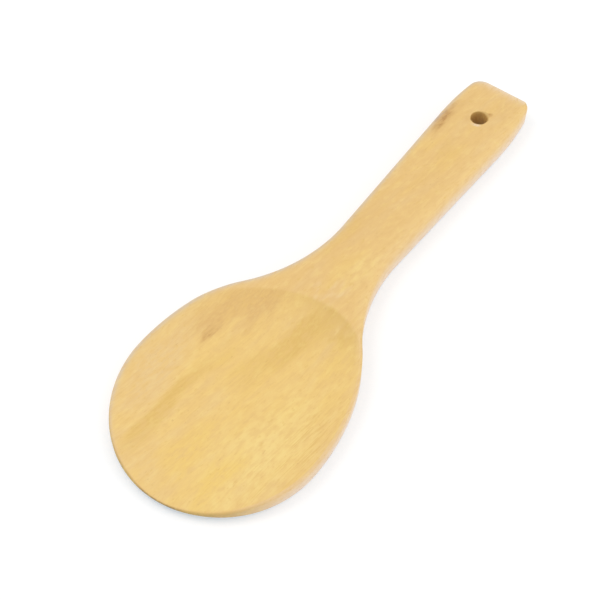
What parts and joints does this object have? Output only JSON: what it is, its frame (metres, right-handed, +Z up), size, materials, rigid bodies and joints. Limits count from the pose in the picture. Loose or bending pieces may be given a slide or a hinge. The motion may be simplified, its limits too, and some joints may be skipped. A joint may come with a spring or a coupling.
{
  "type": "wooden serving spoon",
  "caption": "Flat wooden serving spoon with a broad round bowl, a shallow scooped dish, a waisted neck and a straight handle with a hanging hole.",
  "frame": {"origin": "under the middle of the spoon's length and width, on the surface that it rests on", "axes": "+Y along the length from the bowl to the end of the handle, +Z up out of the dish, +X across the handle"},
  "size_m": [0.0798, 0.225, 0.01],
  "materials": {
    "pale_wood": "sanded, unvarnished, satin to matt"
  },
  "bodies": {
    "root": {"spoon": "pale_wood"}
  },
  "joints": []
}
